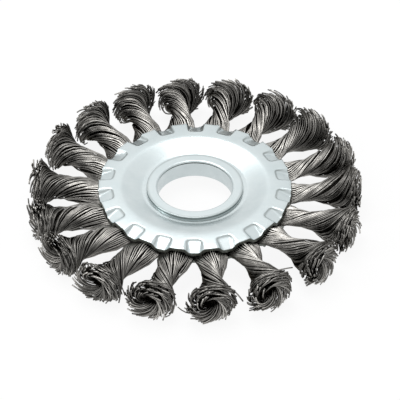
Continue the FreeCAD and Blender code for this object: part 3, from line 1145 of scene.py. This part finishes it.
    def weld_caps(self, mesh: bpy.types.Mesh) -> None:
        """Join the ends' caps to the wires, so that each wire is closed, and add the core.

        Args:
            mesh: the swept wires.
        """
        work = bmesh.new()
        work.from_mesh(mesh)
        bmesh.ops.remove_doubles(work, verts=work.verts, dist=self.weld_distance * MM)
        self.add_core(work)
        bmesh.ops.recalc_face_normals(work, faces=work.faces)
        work.to_mesh(mesh)
        work.free()

    def build(self, steel: bpy.types.Material) -> bpy.types.Object:
        """Build the knot's wires and dress them.

        Args:
            steel: finish of the wires.

        Returns:
            The knot.
        """
        node = f"knot_{self.number:02d}"
        chance = random.Random(self.seed * self.seed_step + self.number)
        paths, shades = self.all_paths(chance)
        mesh = self.wire_mesh(node + "_wires", paths)
        self.shade_wires(mesh, shades)
        self.weld_caps(mesh)
        piece = finish_piece(node + "_wires", mesh, [node])
        dress(piece, steel)
        return piece


@dataclass
class KnotRing:
    """All the wire knots round the wheel."""

    first_angle: float = 19.4
    leans: tuple[float, ...] = (
        -0.2, -0.6, -2.5, -3.3, -4.5, -6.2, -7.0, -8.0, -5.8,
        -4.8, -5.7, -5.6, -5.4, -4.2, -2.9, -0.3, 0.5, 1.8,
    )
    extra_reaches: tuple[float, ...] = (
        0.3, 0.0, -0.6, -0.3, -0.6, -0.3, -0.7, -0.6, -0.6,
        -0.4, 0.1, 0.5, 0.5, 0.6, 0.4, 0.3, 0.3, -0.2,
    )

    def build(self, steel: bpy.types.Material) -> list[bpy.types.Object]:
        """Build one knot for each lean.

        Args:
            steel: finish of the wires.

        Returns:
            The knots, counter-clockwise from the first one.
        """
        pitch = 360 / len(self.leans)
        return [
            WireKnot(index + 1, self.first_angle + index * pitch, lean, extra).build(steel)
            for index, (lean, extra) in enumerate(zip(self.leans, self.extra_reaches))
        ]


@dataclass(frozen=True)
class Softbox:
    """Square soft light aimed at the wheel, in millimetres and watts."""

    name: str
    place: tuple[float, float, float]
    side: float
    power: float

    def build(self) -> None:
        """Set the light up."""
        lamp = bpy.data.lights.new(self.name, "AREA")
        lamp.shape = "SQUARE"
        lamp.size = self.side * MM
        lamp.energy = self.power
        holder = bpy.data.objects.new(self.name, lamp)
        bpy.context.scene.collection.objects.link(holder)
        place = Vector(self.place)
        holder.location = place * MM
        holder.rotation_euler = (-place).to_track_quat("-Z", "Y").to_euler()


@dataclass
class Studio:
    """Pale floor, soft light and the camera, in millimetres and degrees."""

    floor_height: float = -6.5
    floor_size: float = 3000.0
    floor_glow: float = 0.9
    world_strength: float = 0.75
    white_strength: float = 1.0
    softboxes: tuple[Softbox, ...] = (
        Softbox("softbox_above", (-90.0, 160.0, 570.0), 320.0, 1.3),
        Softbox("softbox_left", (-560.0, -60.0, 420.0), 180.0, 0.7),
    )
    elevation: float = 41.0
    distance: float = 722.0
    lens: float = 220.5
    sensor: float = 36.0
    nearest: float = 10.0
    farthest: float = 20000.0
    roll: float = -0.3
    picture_side: int = 400
    target_pixel: tuple[float, float] = (194.9, 193.3)

    def build_floor(self) -> bpy.types.Object:
        """Build the floor, which shows white to the camera and keeps the wheel's shadow.

        Returns:
            The floor.
        """
        work = bmesh.new()
        bmesh.ops.create_grid(work, x_segments=1, y_segments=1, size=self.floor_size / 2 * MM)
        bmesh.ops.translate(work, vec=(0, 0, self.floor_height * MM), verts=work.verts)
        mesh = bpy.data.meshes.new("floor")
        work.to_mesh(mesh)
        work.free()
        floor = bpy.data.objects.new("floor", mesh)
        bpy.context.scene.collection.objects.link(floor)
        material, tree, output = new_material("white_floor")
        matt = add_node(tree, "ShaderNodeBsdfDiffuse", {}, {"Color": (1.0, 1.0, 1.0, 1.0)})
        white = add_node(tree, "ShaderNodeEmission", {}, {"Strength": self.white_strength})
        share = add_node(tree, "ShaderNodeMath", {"operation": "MULTIPLY"}, {
            0: self.shown_rays(tree), 1: self.floor_glow,
        })
        shader = add_node(tree, "ShaderNodeMixShader", {}, {
            "Fac": share.outputs[0], 1: matt.outputs["BSDF"], 2: white.outputs["Emission"],
        })
        tree.links.new(shader.outputs["Shader"], output.inputs["Surface"])
        dress(floor, material)
        return floor

    def shown_rays(self, tree: bpy.types.NodeTree) -> bpy.types.NodeSocket:
        """One for the rays that show the background, and nought for those that light.

        Args:
            tree: the node tree that takes the nodes.

        Returns:
            The socket that gives the number.
        """
        path = add_node(tree, "ShaderNodeLightPath")
        seen = add_node(tree, "ShaderNodeMath", {"operation": "MAXIMUM"}, {
            0: path.outputs["Is Camera Ray"], 1: path.outputs["Is Glossy Ray"],
        })
        shown = add_node(tree, "ShaderNodeMath", {"operation": "MAXIMUM"}, {
            0: seen.outputs[0], 1: path.outputs["Is Transmission Ray"],
        })
        return shown.outputs[0]

    def build_world(self) -> None:
        """World that is white to the camera and to reflections, and softer as light."""
        world = bpy.data.worlds.new("studio_surround")
        bpy.context.scene.world = world
        world.use_nodes = True
        tree = world.node_tree
        tree.nodes.clear()
        output = add_node(tree, "ShaderNodeOutputWorld")
        strength = add_node(tree, "ShaderNodeMapRange", {}, {
            "Value": self.shown_rays(tree),
            "To Min": self.world_strength,
            "To Max": self.white_strength,
        })
        background = add_node(tree, "ShaderNodeBackground", {}, {
            "Color": (1.0, 1.0, 1.0, 1.0), "Strength": strength.outputs["Result"],
        })
        tree.links.new(background.outputs["Background"], output.inputs["Surface"])

    def build_camera(self) -> None:
        """Camera at the photograph's angle and framing."""
        camera = bpy.data.cameras.new("camera")
        camera.lens = self.lens
        camera.sensor_width = self.sensor
        camera.sensor_fit = "AUTO"
        camera.dof.use_dof = False
        camera.clip_start = self.nearest * MM
        camera.clip_end = self.farthest * MM
        half = self.picture_side / 2
        camera.shift_x = (half - self.target_pixel[0]) / self.picture_side
        camera.shift_y = (self.target_pixel[1] - half) / self.picture_side
        holder = bpy.data.objects.new("camera", camera)
        bpy.context.scene.collection.objects.link(holder)
        lift = math.radians(self.elevation)
        back = Vector((0, -math.cos(lift), math.sin(lift)))
        holder.location = back * self.distance * MM
        aim = (-back).to_track_quat("-Z", "Y").to_matrix().to_4x4()
        turn = aim @ Matrix.Rotation(math.radians(self.roll), 4, "Z")
        holder.rotation_euler = turn.to_euler()
        bpy.context.scene.camera = holder

    def build(self) -> None:
        """Build the floor, the light and the camera."""
        self.build_floor()
        self.build_world()
        for softbox in self.softboxes:
            softbox.build()
        self.build_camera()
        bpy.context.scene.view_settings.view_transform = "Standard"


def main() -> None:
    """Dress the wheel, then set the studio."""
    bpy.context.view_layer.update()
    logging.basicConfig(level=logging.INFO, format="%(name)s: %(message)s")
    plating = ZincPlate().build()
    edge = ShearedSteel().build()
    steel = DrawnWire().build()
    for side in Side:
        SidePlate(side=side).build(plating, edge)
    BoreEyelet().build(plating)
    KnotRing().build(steel)
    # the holding ring keeps the shape of its solid
    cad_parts["holding_ring"].data.materials[0] = edge
    Studio().build()


if __name__ == "__main__":
    main()
